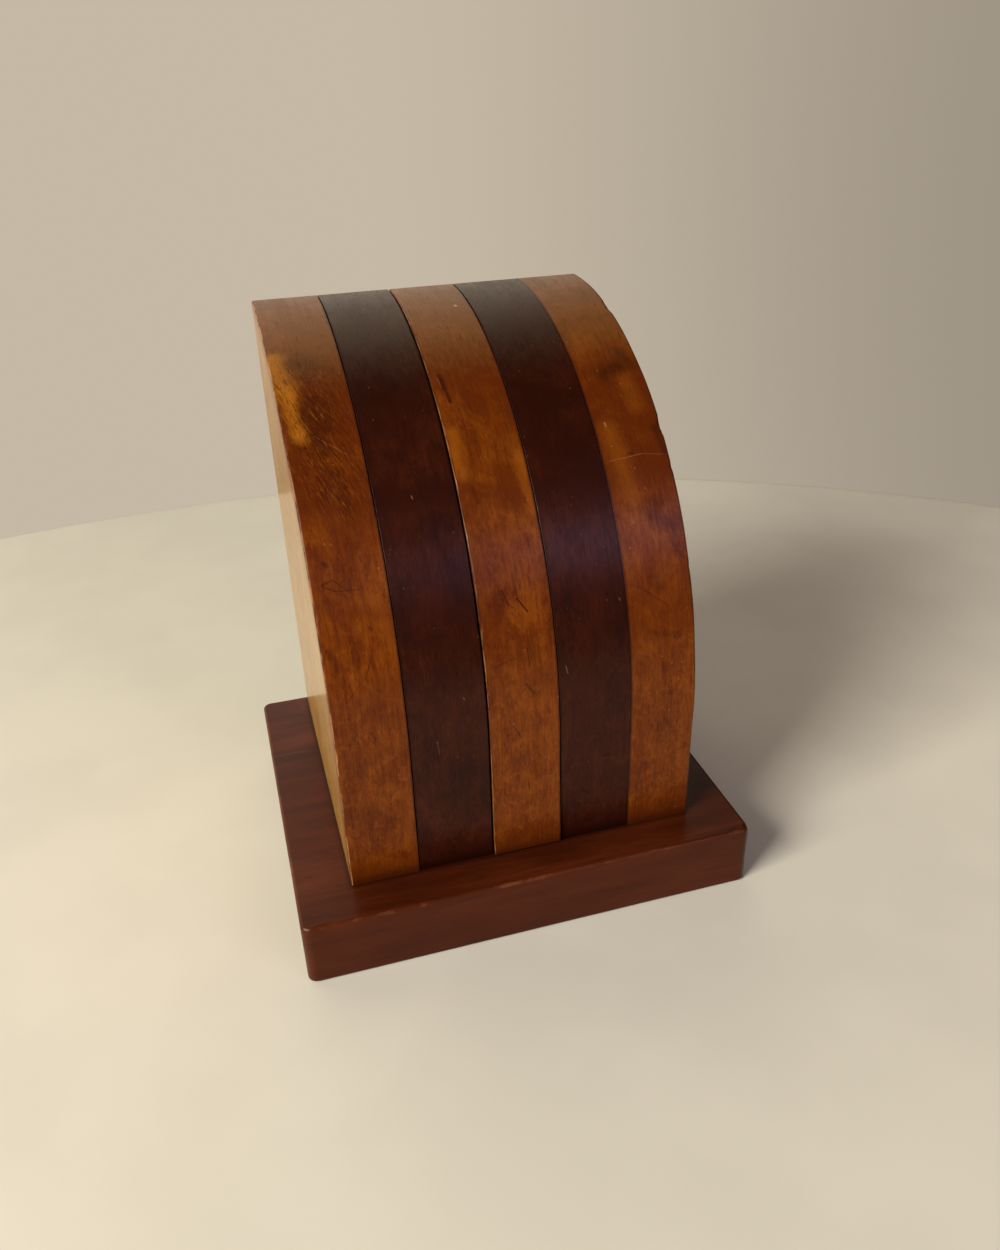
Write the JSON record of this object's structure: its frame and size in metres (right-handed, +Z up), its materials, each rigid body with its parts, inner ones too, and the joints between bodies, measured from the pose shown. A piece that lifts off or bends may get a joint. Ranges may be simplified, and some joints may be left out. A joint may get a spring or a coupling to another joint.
{
  "type": "wooden secret box",
  "caption": "Quarter-round laminated wooden secret box on a plinth; two slices swing back on a hidden axle and uncover pockets.",
  "frame": {"origin": "middle of the plinth's underside", "axes": "+Z up, +Y towards the flat back, +X to the right as seen from the rounded front"},
  "size_m": [0.127, 0.111, 0.1535],
  "materials": {
    "light_wood": "amber shellac over figured maple, worn and mottled, satin",
    "dark_wood": "dark red-brown rosewood under shellac, satin",
    "plinth_wood": "polished red mahogany with worn arrises",
    "dowel_wood": "bare beech",
    "brass": "turned, lightly tarnished",
    "spring_brass": "rolled hard strip",
    "screw_steel": "dull aged steel"
  },
  "bodies": {
    "base": {"plinth": "plinth_wood", "slice_1": "light_wood", "slice_4": "dark_wood", "slice_5": "light_wood", "axle": "brass", "washer_1_2": "brass", "washer_2_3": "brass", "washer_3_4": "brass", "stop_pin_2": "brass", "stop_pin_3": "brass", "detent_spring_2": "spring_brass", "detent_spring_3": "spring_brass", "detent_screw_2_outer": "brass", "detent_screw_2_inner": "brass", "detent_screw_3_outer": "brass", "detent_screw_3_inner": "brass", "plinth_screw_1_front": "screw_steel", "plinth_screw_1_back": "screw_steel", "plinth_screw_4_front": "screw_steel", "plinth_screw_4_back": "screw_steel", "plinth_screw_5_front": "screw_steel", "plinth_screw_5_back": "screw_steel", "dowel_lower": "dowel_wood", "dowel_upper": "dowel_wood"},
    "swing_2": {"slice_2": "dark_wood", "bush_2": "brass"},
    "swing_3": {"slice_3": "light_wood", "bush_3": "brass"}
  },
  "joints": [
    {"name": "slice_2_swing", "type": "hinge", "parent": "base", "child": "swing_2", "pos_m": [-0.0192, 0.0425, 0.055], "axis": [-1, 0, 0], "range_deg": [0, 80], "deforming": ["detent_spring_2"]},
    {"name": "slice_3_swing", "type": "hinge", "parent": "base", "child": "swing_3", "pos_m": [0.0009, 0.0425, 0.055], "axis": [-1, 0, 0], "range_deg": [0, 80], "deforming": ["detent_spring_3"]}
  ]
}
